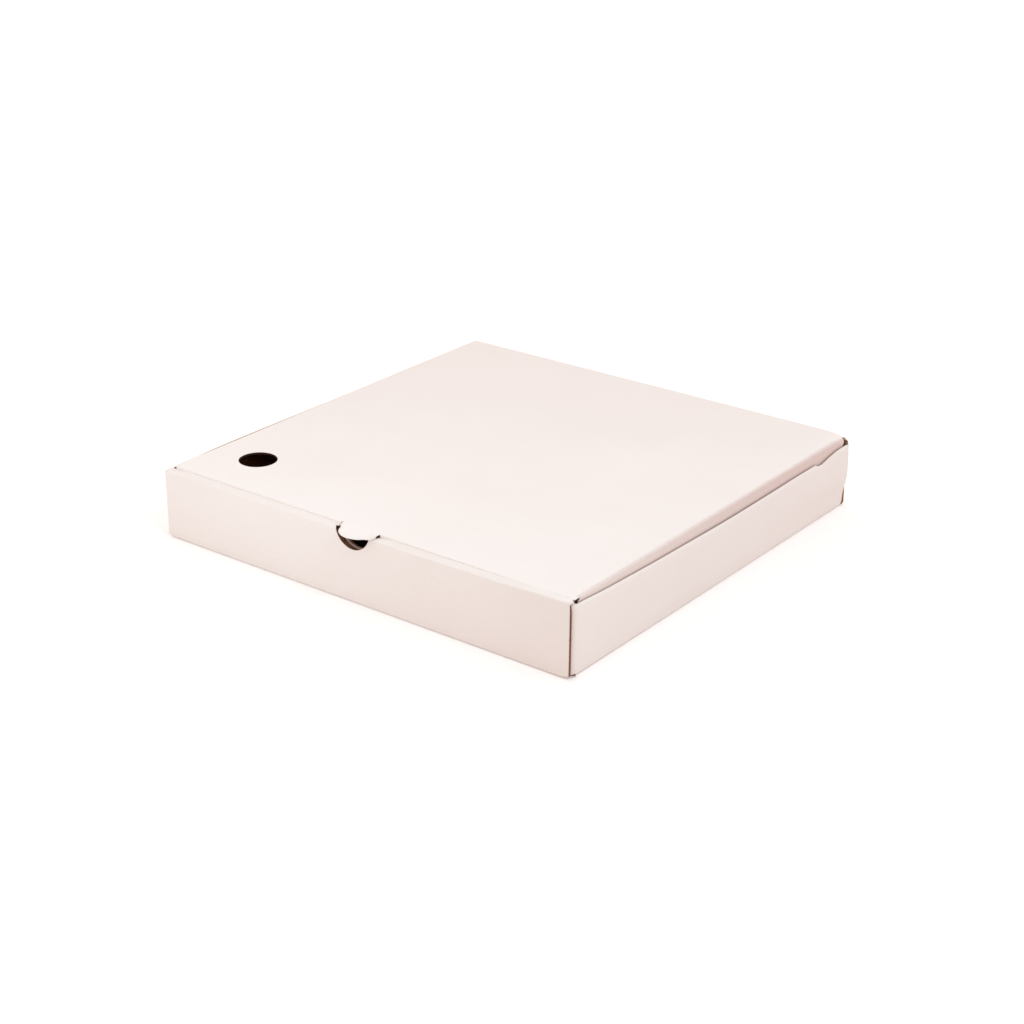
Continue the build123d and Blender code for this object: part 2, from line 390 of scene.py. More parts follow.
class Outline:
    """A closed outline on the flat blank, with the material on its left."""

    def __init__(self):
        self.points = []
        self.cut = []
        self.dip = []
        self.closed = []

    def run(self, points, cut=True, dip=edge_dip, closed=None):
        """Adds points. The white paper dips at a cut, and a rolled cut has a deep dip.

        A cut drawn as one plain face takes the finish of the given number; the near-black one is painted
        shade for a dark gap."""
        self.points += list(points)
        self.cut += [cut] * len(points)
        self.dip += [dip] * len(points)
        self.closed += [closed] * len(points)

    def walk(self, places, cut=True, dip=edge_dip, closed=None):
        """Adds straight runs through the places, up to the last."""
        for start, end in zip(places, places[1:]):
            self.run(straight(start, end), cut, dip, closed)

    def reversed(self):
        """The same outline the other way round, for a hole."""
        turned = Outline()
        turned.points = self.points[::-1]
        turned.cut = self.cut[-2::-1] + self.cut[-1:]
        turned.dip = self.dip[::-1]
        turned.closed = self.closed[::-1]
        return turned

    def rolled_pieces(self):
        """Start, end and dip of the pieces of outline whose white paper is rolled over the cut."""
        pieces = []
        for index, dip in enumerate(self.dip):
            if self.cut[index] and dip > edge_dip:
                pieces.append((self.points[index], self.points[(index + 1) % len(self.points)], dip))
        return pieces

    def inward(self):
        """Direction into the board at each point, lengthened at corners so that offsets stay parallel."""
        points = np.array(self.points)
        ways = np.roll(points, -1, axis=0) - points
        ways /= np.linalg.norm(ways, axis=1)[:, None]
        after = np.stack((-ways[:, 1], ways[:, 0]), axis=1)
        before = np.roll(after, 1, axis=0)
        cut_after = np.array(self.cut)
        cut_before = np.roll(cut_after, 1)
        both = (before + after) / np.maximum(mitre_limit, 1 + (before * after).sum(1))[:, None]
        one = np.where(cut_after[:, None], after, before)
        return np.where((cut_after & cut_before)[:, None], both, one)


def rolled_over(points, pieces):
    """How far the white paper lies below its plane, near cuts that it is rolled over."""
    dips = np.zeros(len(points))
    for start, end, dip in pieces:
        way = end - start
        share = np.clip((points - start) @ way / (way @ way), 0, 1)
        distance = np.linalg.norm(points - start - share[:, None] * way, axis=1)
        dips = np.maximum(dips, dip * np.clip(1 - distance / rolled_width, 0, 1) ** 2)
    return dips


class Blank:
    """A folded board in the making: two liners, the groove of their cut edges and the fluting's lines."""

    def __init__(self, name):
        self.name = name
        self.points = []
        self.flat = []
        self.wear = []
        self.crease = []
        self.hollow_shade = []
        self.painted_shade = []
        self.faces = []
        self.finish = []
        self.edge_lines = []

    def add_points(self, points, flat, wear, crease, hollow_shade=0, painted_shade=0):
        """Adds points with their place on the flat sheet and their state, and gives the first number."""
        first = sum(len(group) for group in self.points)
        self.painted_shade.append(np.broadcast_to(painted_shade, len(points)))
        self.hollow_shade.append(np.full(len(points), hollow_shade))
        self.points.append(points)
        self.flat.append(flat)
        self.wear.append(np.broadcast_to(wear, len(points)))
        self.crease.append(np.broadcast_to(crease, len(points)))
        return first

    def panel(self, fold, flatten, outline, holes=(), rows=(), columns=(), painted_shade=None, dense=None):
        """Folds one outline of the blank.

        fold(a, b, share) gives places, and flatten(a, b) the blank's own plane. Rows are values of b, and
        columns values of a, at which bends need points. The painted-shade function gives, at (a, b), how much
        shade is painted on the white paper. dense is the low and high corner of a part that needs more
        points."""
        loops = [outline, *[hole.reversed() for hole in holes]]
        loop_points = [np.array(loop.points) for loop in loops]
        everywhere = np.concatenate(loop_points)
        low, high = everywhere.min(0), everywhere.max(0)
        extra = []
        for loop, points in zip(loops, loop_points):
            worn = np.array(loop.cut) | np.roll(loop.cut, 1)
            rolled = np.array(loop.dip) > edge_dip
            extra.append((points + edge_rounding * loop.inward())[worn])
            extra.append((points + middle_ring * edge_rounding * loop.inward())[worn & rolled])
            extra.append((points + rolled_width * loop.inward())[worn & rolled])
        spread = [np.arange(ceil(low[i] / edge_step), high[i] / edge_step) * edge_step for i in (0, 1)]
        for row in rows:
            extra.append(np.stack((spread[0], np.full(len(spread[0]), row)), axis=1))
        for column in columns:
            extra.append(np.stack((np.full(len(spread[1]), column), spread[1]), axis=1))
        grid = [np.arange(ceil(low[i] / grid_step), high[i] / grid_step) * grid_step for i in (0, 1)]
        extra.append(np.stack(np.meshgrid(*grid), axis=-1).reshape(-1, 2))
        if dense is not None:
            fine = [np.arange(dense[0][i], dense[1][i], dense_step) for i in (0, 1)]
            extra.append(np.stack(np.meshgrid(*fine), axis=-1).reshape(-1, 2))
        extra = np.concatenate(extra)
        extra = extra[inside(extra, loop_points)]
        gap = np.linalg.norm(extra[:, None] - everywhere[None], axis=2).min(1)
        extra = extra[gap > free_share * edge_rounding]

        flat_points = np.concatenate((everywhere, extra))
        edges, first = [], 0
        for points in loop_points:
            count = len(points)
            edges += [(first + i, first + (i + 1) % count) for i in range(count)]
            first += count
        made = delaunay_2d_cdt([tuple(p) for p in flat_points], edges, [], 0, 1e-6)
        made_points = np.array([tuple(p) for p in made[0]])
        triangles = np.array([face for face in made[2] if len(face) == 3])
        middles = made_points[triangles].mean(1)
        triangles = triangles[inside(middles, loop_points)]
        new_index = {}
        for index, sources in enumerate(made[3]):
            for source in sources:
                new_index[source] = index

        on_edge = np.zeros(len(made_points), bool)
        first = 0
        for loop in loops:
            worn = np.array(loop.cut) | np.roll(loop.cut, 1)
            for i in np.nonzero(worn)[0]:
                on_edge[new_index[first + i]] = True
            first += len(loop.points)
        a, b = made_points.T
        flat = flatten(a, b)
        bend = np.zeros(len(a))
        for bends, values in ((rows, b), (columns, a)):
            for place in bends:
                bend[np.abs(values - place) < 0.02] = 1
        rolled = rolled_over(made_points, [piece for loop in loops for piece in loop.rolled_pieces()])
        wear = np.where(rolled > edge_dip, rolled_wear, 1) * on_edge
        white_share = np.maximum(np.where(on_edge, edge_dip, 0), rolled) / board
        kraft_share = np.where(on_edge, 1 - edge_dip / board, 1)
        shade_share = 0 if painted_shade is None else painted_shade(a, b)
        white = self.add_points(fold(a, b, white_share), flat, wear, bend, painted_shade=shade_share)
        kraft = self.add_points(fold(a, b, kraft_share), flat, on_edge, bend)

        corner = fold(*made_points[triangles[0]].T, np.zeros(3))
        below = fold(*made_points[triangles[0][:1]].T, np.ones(1))[0]
        normal = np.cross(corner[1] - corner[0], corner[2] - corner[0])
        turned = normal @ (corner[0] - below) < 0
        order = (0, 2, 1) if turned else (0, 1, 2)
        for triangle in triangles:
            corners = [triangle[i] for i in order]
            self.add_face([white + i for i in corners], WHITE)
            self.add_face([kraft + i for i in reversed(corners)], BROWN)

        first = 0
        for loop in loops:
            known = [new_index[first + i] for i in range(len(loop.points))]
            self.cut_edge(loop, fold, flatten, [white + i for i in known], [kraft + i for i in known], turned)
            first += len(loop.points)

    def add_face(self, corners, finish):
        """Adds a face with the number of its finish."""
        self.faces.append([int(corner) for corner in corners])
        self.finish.append(finish)

    def cut_edge(self, loop, fold, flatten, white, kraft, turned):
        """The two liners' cut edges and the groove between them, for each cut run of an outline."""
        points, inward = np.array(loop.points), loop.inward()
        flat = flatten(*points.T)
        dip, thin = edge_dip / board, liner / board
        rolled = rolled_over(points, loop.rolled_pieces())
        pressed = rolled > edge_dip
        edge_thin = np.where(pressed, pressed_liner / board, thin)
        groove_top = np.maximum(edge_dip, rolled) / board + edge_thin
        groove_bottom = 1 - dip - edge_thin
        deep = points + groove_depth * inward
        rings = [np.array(white)]
        # The two deep rings are marked for painted shade; the rings at the cut are marked as worn
        for place, share, hollow_shade in (
            (points, groove_top, 0),
            (deep, np.full(len(points), thin), 1),
            (deep, np.full(len(points), 1 - thin), 1),
            (points, groove_bottom, 0),
        ):
            ring = self.add_points(fold(*place.T, share), flat, 1 - hollow_shade, 0, hollow_shade)
            rings.append(ring + np.arange(len(points)))
        rings.append(np.array(kraft))
        finishes = (CUT, BROWN, BROWN, BROWN, CUT)
        count = len(points)
        for i in range(count):
            if not loop.cut[i]:
                continue
            after = (i + 1) % count
            if loop.closed[i] is not None:
                pieces = [(white, kraft, loop.closed[i])]
            else:
                pieces = zip(rings, rings[1:], finishes)
            for upper, lower, finish in pieces:
                corners = [upper[i], lower[i], lower[after], upper[after]]
                self.add_face(reversed(corners) if turned else corners, finish)
        self.flute_lines(loop, fold, flat, (groove_top + groove_bottom) / 2, ~pressed)

    def flute_lines(self, loop, fold, flat, share, room):
        """Lines along the open cuts, at a share of the thickness, with what the fluting needs to know."""
        points, inward = np.array(loop.points), loop.inward()
        count = len(points)
        middle = fold(*points.T, share)
        through = fold(*points.T, share + 0.1) - fold(*points.T, share - 0.1)
        through /= np.linalg.norm(through, axis=1)[:, None]
        ahead = fold(*(points + 0.3 * inward).T, share) - middle
        ahead /= np.linalg.norm(ahead, axis=1)[:, None]
        open_cut = [cut and shut is None for cut, shut in zip(loop.cut, loop.closed)]
        starts = [i for i in range(count) if open_cut[i] and not open_cut[i - 1]]
        if not starts and all(open_cut):
            starts = [0]
        for start in starts:
            run = [start]
            while open_cut[run[-1] % count] and len(run) <= count:
                run.append(run[-1] + 1)
            chosen = [i % count for i in run]
            self.edge_lines.append(
                (middle[chosen], through[chosen], ahead[chosen], flat[chosen, 1], room[chosen])
            )

    def finished(self, materials):
        """The folded board as an object."""
        mesh = bpy.data.meshes.new(self.name)
        mesh.from_pydata((np.concatenate(self.points) * MM).tolist(), [], self.faces)
        flat = np.concatenate(self.flat) * MM
        corner_points = np.array([corner for face in self.faces for corner in face])
        mesh.uv_layers.new(name="blank").data.foreach_set("uv", flat[corner_points].ravel())
        groups = (("wear", self.wear), ("crease", self.crease), ("hollow_shade", self.hollow_shade), ("painted_shade", self.painted_shade))
        for title, values in groups:
            layer = mesh.attributes.new(title, "FLOAT", "POINT")
            layer.data.foreach_set("value", np.concatenate(values).astype(np.float32))
        for material in materials:
            mesh.materials.append(material)
        mesh.polygons.foreach_set("material_index", self.finish)
        mesh.polygons.foreach_set("use_smooth", [True] * len(self.faces))
        joined = bmesh.new()
        joined.from_mesh(mesh)
        bmesh.ops.remove_doubles(joined, verts=joined.verts, dist=weld_distance * MM)
        loose = [vertex for vertex in joined.verts if not vertex.link_faces]
        bmesh.ops.delete(joined, geom=loose, context="VERTS")
        joined.to_mesh(mesh)
        joined.free()
        mesh.set_sharp_from_angle(angle=board_sharp_angle)
        made = bpy.data.objects.new(self.name, mesh)
        bpy.context.scene.collection.objects.link(made)
        return made


# Geometry Nodes: the wavy middle paper, which shows between the liners along every cut edge

def new_node(tree, kind, settings=None, **inputs):
    """Adds a node, sets its settings and links or sets its named inputs."""
    node = tree.nodes.new(kind)
    for name, value in (settings or {}).items():
        setattr(node, name, value)
    for name, value in inputs.items():
        feed(tree, node.inputs[name.replace("_", " ")], value)
    return node


def feed(tree, socket, value):
    """Links a socket, or sets it to a value."""
    if isinstance(value, bpy.types.NodeSocket):
        tree.links.new(value, socket)
    else:
        socket.default_value = value


def math_node(tree, kind, operation, *values):
    """The result of a math node, scalar or vector."""
    node = tree.nodes.new(kind)
    node.operation = operation
    for socket, value in zip(node.inputs, values):
        feed(tree, socket, value)
    return node.outputs[0]


def scaled(tree, vector, factor):
    """A vector times a number."""
    node = tree.nodes.new("ShaderNodeVectorMath")
    node.operation = "SCALE"
    feed(tree, node.inputs[0], vector)
    feed(tree, node.inputs["Scale"], factor)
    return node.outputs[0]


def fluting_tree():
    """Turns lines along the cut edges into a wavy sheet of paper that runs into the board."""
    tree = bpy.data.node_groups.new("fluting", "GeometryNodeTree")
    tree.interface.new_socket("Geometry", in_out="INPUT", socket_type="NodeSocketGeometry")
    for name in ("Pitch", "Height", "Paper", "Depth"):
        tree.interface.new_socket(name, in_out="INPUT", socket_type="NodeSocketFloat")
    tree.interface.new_socket("Material", in_out="INPUT", socket_type="NodeSocketMaterial")
    tree.interface.new_socket("Geometry", in_out="OUTPUT", socket_type="NodeSocketGeometry")
    given = tree.nodes.new("NodeGroupInput").outputs

    def attribute(name, kind):
        node = tree.nodes.new("GeometryNodeInputNamedAttribute")
        node.data_type = kind
        node.inputs["Name"].default_value = name
        return node.outputs["Attribute"]

    through = attribute("through_board", "FLOAT_VECTOR")
    ahead = attribute("into_board", "FLOAT_VECTOR")
    across = attribute("across_flutes", "FLOAT")
    room = attribute("room", "FLOAT")
    curve = new_node(tree, "GeometryNodeMeshToCurve", Mesh=given["Geometry"])
    step = math_node(tree, "ShaderNodeMath", "DIVIDE", given["Pitch"], flute_points)
    even = new_node(
        tree, "GeometryNodeResampleCurve", {"mode": "LENGTH"}, Curve=curve.outputs[0], Length=step
    )
    line = new_node(tree, "GeometryNodeCurveToMesh", Curve=even.outputs[0])
    turns = math_node(tree, "ShaderNodeMath", "DIVIDE", across, given["Pitch"])
    angle = math_node(tree, "ShaderNodeMath", "MULTIPLY", turns, 2 * pi)
    wave = math_node(tree, "ShaderNodeMath", "SINE", angle)
    swing = math_node(tree, "ShaderNodeMath", "SUBTRACT", given["Height"], given["Paper"])
    free_swing = math_node(tree, "ShaderNodeMath", "MULTIPLY", swing, room)
    half_swing = math_node(tree, "ShaderNodeMath", "MULTIPLY", free_swing, 0.5)
    rise = math_node(tree, "ShaderNodeMath", "MULTIPLY", wave, half_swing)
    half_paper = math_node(tree, "ShaderNodeMath", "MULTIPLY", given["Paper"], 0.5)
    rise = math_node(tree, "ShaderNodeMath", "SUBTRACT", rise, half_paper)
    sideways = scaled(tree, through, rise)
    inward = scaled(tree, ahead, given["Depth"])
    offset = math_node(tree, "ShaderNodeVectorMath", "ADD", sideways, inward)
    wavy = new_node(tree, "GeometryNodeSetPosition", Geometry=line.outputs[0], Offset=offset)
    ribbon = new_node(
        tree,
        "GeometryNodeExtrudeMesh",
        {"mode": "EDGES"},
        Mesh=wavy.outputs[0],
        Offset=through,
        Offset_Scale=given["Paper"],
    )
    outward = scaled(tree, ahead, -flute_outer_share)
    sheet = new_node(
        tree,
        "GeometryNodeExtrudeMesh",
        {"mode": "FACES"},
        Mesh=ribbon.outputs[0],
        Offset=outward,
        Offset_Scale=given["Depth"],
        Individual=False,
    )
    # The sheet's inner part is marked for painted shade, its outer edge is not
    inner = new_node(
        tree,
        "GeometryNodeStoreNamedAttribute",
        {"data_type": "FLOAT", "domain": "POINT"},
        Geometry=sheet.outputs["Mesh"],
        Name="hollow_shade",
        Value=1.0,
    )
    outer = new_node(
        tree,
        "GeometryNodeStoreNamedAttribute",
        {"data_type": "FLOAT", "domain": "POINT"},
        Geometry=inner.outputs[0],
        Selection=sheet.outputs["Top"],
        Name="hollow_shade",
        Value=0.0,
    )
    real = new_node(tree, "GeometryNodeRealizeInstances", Geometry=outer.outputs[0])
    painted = new_node(tree, "GeometryNodeSetMaterial", Geometry=real.outputs[0], Material=given["Material"])
    tree.links.new(painted.outputs[0], tree.nodes.new("NodeGroupOutput").inputs[0])
    return tree


def fluting_of(blank, name, tree, material):
    """The fluting's paper along all cut edges of one folded board."""
    lines = blank.edge_lines
    counts = [len(line[0]) for line in lines]
    edges, first = [], 0
    for count in counts:
        edges += [(first + i, first + i + 1) for i in range(count - 1)]
        first += count
    mesh = bpy.data.meshes.new(name + "_lines")
    mesh.from_pydata((np.concatenate([line[0] for line in lines]) * MM).tolist(), edges, [])
    for title, column in (("through_board", 1), ("into_board", 2)):
        layer = mesh.attributes.new(title, "FLOAT_VECTOR", "POINT")
        values = np.concatenate([line[column] for line in lines]).astype(np.float32)
        layer.data.foreach_set("vector", values.ravel())
    for title, column, unit in (("across_flutes", 3, MM), ("room", 4, 1)):
        layer = mesh.attributes.new(title, "FLOAT", "POINT")
        values = np.concatenate([line[column] for line in lines]) * unit
        layer.data.foreach_set("value", values.astype(np.float32))
    made = bpy.data.objects.new(name, mesh)
    bpy.context.scene.collection.objects.link(made)
    modifier = made.modifiers.new("fluting", "NODES")
    modifier.node_group = tree
    sizes = {
        "Pitch": flute_pitch * MM,
        "Height": (board - 2 * liner) * MM,
        "Paper": flute_paper * MM,
        "Depth": groove_depth * MM,
        "Material": material,
    }
    for socket in tree.interface.items_tree:
        if socket.in_out == "INPUT" and socket.name in sizes:
            modifier[socket.identifier] = sizes[socket.name]
    graph = bpy.context.evaluated_depsgraph_get()
    final = bpy.data.meshes.new_from_object(made.evaluated_get(graph))
    made.modifiers.remove(modifier)
    made.data = final
    final.name = name
    corrected = bmesh.new()
    corrected.from_mesh(final)
    bmesh.ops.recalc_face_normals(corrected, faces=corrected.faces)
    corrected.to_mesh(final)
    corrected.free()
    final.polygons.foreach_set("use_smooth", [True] * len(final.polygons))
    final.set_sharp_from_angle(angle=flute_sharp_angle)
    return made


# Materials

class Finish:
    """One material of the board in the making, with the nodes that the papers share."""

    def __init__(self, name):
        self.material = bpy.data.materials.new(name)
        self.material.use_nodes = True
        self.tree = self.material.node_tree
        self.shader = self.tree.nodes["Principled BSDF"]
        place = self.tree.nodes.new("ShaderNodeTexCoord")
        self.place = place.outputs["Object"]
        blank = self.tree.nodes.new("ShaderNodeUVMap")
        blank.uv_map = "blank"
        self.blank = blank.outputs["UV"]

    def stretched(self, source, scale):
        """The coordinates scaled along each axis."""
        node = self.tree.nodes.new("ShaderNodeMapping")
        feed(self.tree, node.inputs["Vector"], source)
        node.inputs["Scale"].default_value = scale
        return node.outputs["Vector"]

    def noise(self, source, scale, detail=3.0, roughness=0.55):
        """Soft noise between 0 and 1."""
        node = new_node(
            self.tree, "ShaderNodeTexNoise", Vector=source, Scale=scale, Detail=detail, Roughness=roughness
        )
        return node.outputs["Fac"]

    def range(self, value, low, high, to_low=0.0, to_high=1.0):
        """The value moved from one range to another and kept inside it."""
        node = self.tree.nodes.new("ShaderNodeMapRange")
        feed(self.tree, node.inputs["Value"], value)
        for name, number in zip(("From Min", "From Max", "To Min", "To Max"), (low, high, to_low, to_high)):
            node.inputs[name].default_value = number
        return node.outputs["Result"]

    def math(self, operation, *values):
        """The result of a math node."""
        return math_node(self.tree, "ShaderNodeMath", operation, *values)

    def mix(self, factor, a, b):
        """Colour a where the factor is 0, and b where it is 1."""
        node = self.tree.nodes.new("ShaderNodeMix")
        node.data_type = "RGBA"
        feed(self.tree, node.inputs["Factor"], factor)
        feed(self.tree, node.inputs[6], a)
        feed(self.tree, node.inputs[7], b)
        return node.outputs[2]

    def attribute(self, name):
        """A value stored on the board's points."""
        node = self.tree.nodes.new("ShaderNodeAttribute")
        node.attribute_name = name
        return node.outputs["Fac"]

    def bump(self, height, distance, normal=None):
        """A surface direction with fine relief, on top of another one if given."""
        node = new_node(self.tree, "ShaderNodeBump", Height=height, Distance=distance, Strength=1.0)
        if normal is not None:
            feed(self.tree, node.inputs["Normal"], normal)
        return node.outputs["Normal"]

    def washboard(self):
        """The faint ribs that the flutes press through a liner."""
        axes = new_node(self.tree, "ShaderNodeSeparateXYZ", Vector=self.blank)
        turns = self.math("MULTIPLY", axes.outputs["Y"], 2 * pi / (flute_pitch * MM))
        return self.math("SINE", turns)


def colour(red, green, blue):
    """A colour given as screen values out of 255, as linear light."""
    linear = [((c / 255 + 0.055) / 1.055) ** 2.4 for c in (red, green, blue)]
    return (*linear, 1.0)


# Painted shade: near-black brown for the groove's deep wall and the inner fluting, standing for the dark
# tunnels between the liners
hollow_shade_colour = colour(20, 13, 8)


def white_liner():
    """Clay-coated white paper: warm white, faintly mottled, a little soiled at folds and cut edges, with
    painted pinkish shade along the side flaps' creases.
    """
    finish = Finish("white_liner")
    clouds = finish.noise(finish.place, 9.0, 4.0)
    mottle = finish.noise(finish.stretched(finish.blank, (900.0, 420.0, 1.0)), 1.0, 5.0, 0.7)
    base = finish.mix(finish.range(clouds, 0.3, 0.7), colour(246, 240, 236), colour(242, 235, 230))
    base = finish.mix(finish.range(mottle, 0.35, 0.7, 0.0, 0.5), base, colour(239, 230, 223))
    specks = finish.noise(finish.place, 620.0, 2.0)
    base = finish.mix(finish.range(specks, 0.74, 0.8, 0.0, 0.35), base, colour(206, 188, 170))
    frayed = finish.noise(finish.place, 900.0, 4.0, 0.7)
    edge = finish.math("MULTIPLY", finish.attribute("wear"), finish.range(frayed, 0.42, 0.66))
    base = finish.mix(finish.math("POWER", edge, 3.0), base, colour(206, 176, 146))
    crease = finish.math("MULTIPLY", finish.attribute("crease"), finish.range(frayed, 0.35, 0.75, 0.0, 0.1))
    base = finish.mix(crease, base, colour(224, 208, 192))
    # Painted shade: the side flaps' creases take a darker pink, for the shade and warm bounce light in the
    # gap along the walls
    base = finish.mix(finish.attribute("painted_shade"), base, colour(222, 201, 194))
    feed(finish.tree, finish.shader.inputs["Base Color"], base)
    rough = finish.range(mottle, 0.3, 0.7, 0.5, 0.62)
    feed(finish.tree, finish.shader.inputs["Roughness"], rough)
    finish.shader.inputs["Specular IOR Level"].default_value = 0.35
    ribs = finish.bump(finish.washboard(), 0.000012)
    fibres = finish.bump(mottle, 0.00003, ribs)
    waves = finish.bump(finish.noise(finish.place, 22.0, 2.0), 0.0006, fibres)
    feed(finish.tree, finish.shader.inputs["Normal"], waves)
    return finish.material


def kraft_liner():
    """Uncoated brown paper with long fibres."""
    finish = Finish("kraft_liner")
    streaks = finish.noise(finish.stretched(finish.blank, (1500.0, 260.0, 1.0)), 1.0, 6.0, 0.75)
    clouds = finish.noise(finish.place, 14.0, 4.0)
    fibres = finish.noise(finish.place, 1400.0, 4.0, 0.7)
    base = finish.mix(finish.range(clouds, 0.3, 0.7), colour(186, 146, 106), colour(172, 132, 94))
    base = finish.mix(finish.range(streaks, 0.4, 0.75, 0.0, 0.7), base, colour(150, 110, 74))
    base = finish.mix(finish.range(fibres, 0.6, 0.72, 0.0, 0.6), base, colour(214, 180, 140))
    # Painted shade: the groove's deep wall goes near-black, for the shade between the liners
    base = finish.mix(finish.attribute("hollow_shade"), base, hollow_shade_colour)
    feed(finish.tree, finish.shader.inputs["Base Color"], base)
    feed(finish.tree, finish.shader.inputs["Roughness"], finish.range(fibres, 0.3, 0.7, 0.75, 0.9))
    finish.shader.inputs["Specular IOR Level"].default_value = 0.2
    ribs = finish.bump(finish.washboard(), 0.00004)
    feed(finish.tree, finish.shader.inputs["Normal"], finish.bump(fibres, 0.00006, ribs))
    return finish.material


def raw_paper(name, fibre_scale, dark, light, roughness, gloss, relief, hollow_shade=False):
    """Rough paper of short fibres in two shades. If asked, it takes painted shade where it runs deep inside
    the board.
    """
    finish = Finish(name)
    fibres = finish.noise(finish.place, fibre_scale, 4.0, 0.7)
    base = finish.mix(finish.range(fibres, 0.35, 0.65), dark, light)
    if hollow_shade:
        base = finish.mix(finish.attribute("hollow_shade"), base, hollow_shade_colour)
    feed(finish.tree, finish.shader.inputs["Base Color"], base)
    finish.shader.inputs["Roughness"].default_value = roughness
    finish.shader.inputs["Specular IOR Level"].default_value = gloss
    feed(finish.tree, finish.shader.inputs["Normal"], finish.bump(fibres, relief))
    return finish.material


def cut_paper():
    """The torn-looking brown edge of a liner, as the cutting rule leaves it."""
    shades = colour(166, 133, 122), colour(206, 175, 162)
    return raw_paper("cut_paper", 2200.0, *shades, 0.9, 0.15, 0.00008)


def painted_shade_edge():
    """Cut edge painted almost black, as painted shade in deep cuts and narrow gaps."""
    shades = colour(50, 33, 31), colour(84, 58, 54)
    return raw_paper("painted_shade_edge", 2200.0, *shades, 0.95, 0.1, 0.00008)


def fluting_paper():
    """The brown paper of the flutes, with painted shade where it runs deep inside the board."""
    shades = colour(154, 120, 109), colour(186, 152, 139)
    return raw_paper("fluting_paper", 1800.0, *shades, 0.9, 0.15, 0.00006, hollow_shade=True)


# Tray

def tray_blank():
    """Front panel roll, floor and back wall in one strip, and the two side walls with their corner tabs."""
    tray = Blank("tray_board")
    back_top = hinge_height - hinge_reach
    strip = FoldedSection(
        [
            (front_inner_face, foot_lift),
            (front_inner_face, front_height),
            (-half_depth, front_height),
            (-half_depth, 0),
            (half_depth, 0),
            (half_depth, back_top),
        ],
        [groove_radius, crease_radius, fold_radius, fold_radius],
    )
    floor_middle = strip.place(3, half_depth)
    rise_curve = np.array(smooth_line(fold_rise) + [np.array(fold_rise[-1])]).T
    band_curve = np.array(band_rise).T
    ridge_back = board + ridge_width - half_depth

    def fold_strip(a, b, share):
        section = strip.at(b, share)
        in_front = section[:, 0] < front_inner_face + band_reach
        near_lid = growing(section[:, 0], ridge_back, front_inner_face - ridge_back)
        rise = np.interp(a, *rise_curve) * (1 - near_lid) + np.interp(a, *band_curve) * near_lid
        rise *= in_front * section[:, 1] / front_height
        places = np.column_stack((a, section[:, 0], section[:, 1] + rise))
        places[:, 0] += spread_ends(places, share)
        places[:, 2] -= drooping(places)
        return places

    def flatten_strip(a, b):
        return np.column_stack((a, b - floor_middle))

    outline = strip_outline(strip, back_top)
    tray.panel(fold_strip, flatten_strip, outline, strip_holes(strip), strip.rows())

    wall = FoldedSection(
        [(floor_half_width, 0), (half_width, 0), (half_width, front_height + wall_path_room)],
        [fold_radius],
    )
    corners = []
    for end, start, radius in (
        (-1, front_corner_start, front_corner_radius),
        (1, back_corner_start, back_corner_radius),
    ):
        path = [(half_width, start), (half_width, tab_face), (tab_tip, tab_face)]
        corners.append((end, start, FoldedSection(path, [radius])))

    def fold_wall(side):
        def fold(a, b, share):
            upright = wall.at(b, share)
            places = np.column_stack((upright[:, 0], a, upright[:, 1]))
            for end, start, corner in corners:
                in_tab = end * a > start
                around = corner.at(end * a - start, share)
                places[in_tab, 0] = around[in_tab, 0]
                places[in_tab, 1] = end * around[in_tab, 1]
                places[in_tab, 2] = wall.at(b, np.zeros(len(b)))[in_tab, 1]
            if side > 0:
                places[:, 0] += lean_out(places)
            places[:, 0] *= side
            return places

        return fold

    def flatten_wall(side):
        return lambda a, b: np.column_stack((side * (floor_half_width + b), a))

    sides = ((1, right_wall_edge(), raised_tab_top), (-1, left_wall_edge(), tab_top + fold_rise[1][1]))
    for side, edge, top_at_front in sides:
        outline = wall_outline(wall, corners, edge, top_at_front)
        bends = [end * (start + place) for end, start, corner in corners for place in corner.rows()]
        dense = (lean_area, (back_corner_start, front_height)) if side > 0 else None
        tray.panel(fold_wall(side), flatten_wall(side), outline, rows=wall.rows(), columns=bends, dense=dense)
    return tray


# Bent and worn ends: how far the board lies from its straight folded place

def growing(values, start, width):
    """0 up to the start, growing evenly to 1 over the width."""
    return np.clip((values - start) / width, 0, 1)


def eased(values, start, width):
    """0 up to the start, growing softly to 1 over the width."""
    share = growing(values, start, width)
    return share**2 * (3 - 2 * share)


def spread_ends(places, share):
    """How far the brown paper reaches beyond the white at the right ends of the front and back walls."""
    across, along, up = places.T
    gap, width = spread_below_band
    near_end = growing(across, *spread_across) * growing(-up, gap - front_height, width)
    spread = np.where(along < 0, front_end_spread, back_end_spread) * (np.abs(along) > tab_face)
    near_hinge = growing(across, *hinge_spread_across) * growing(along, *hinge_spread_along)
    above_wall = growing(up, *hinge_spread_up)
    return (spread * near_end + hinge_end_spread * near_hinge * above_wall) * share


def drooping(places):
    """How far the board sinks at the lid's right back corner."""
    across, along, up = places.T
    shares = eased(across, *droop_across) * eased(along, *droop_along)
    return corner_droop * shares * growing(up, *droop_up)


def lean_out(places):
    """How far the right wall stands out, most in the upper half of its back end."""
    across, along, up = places.T
    shares = eased(across, *lean_across) * eased(along, *lean_along)
    return wall_lean * shares * np.interp(up, *np.array(lean_heights).T)


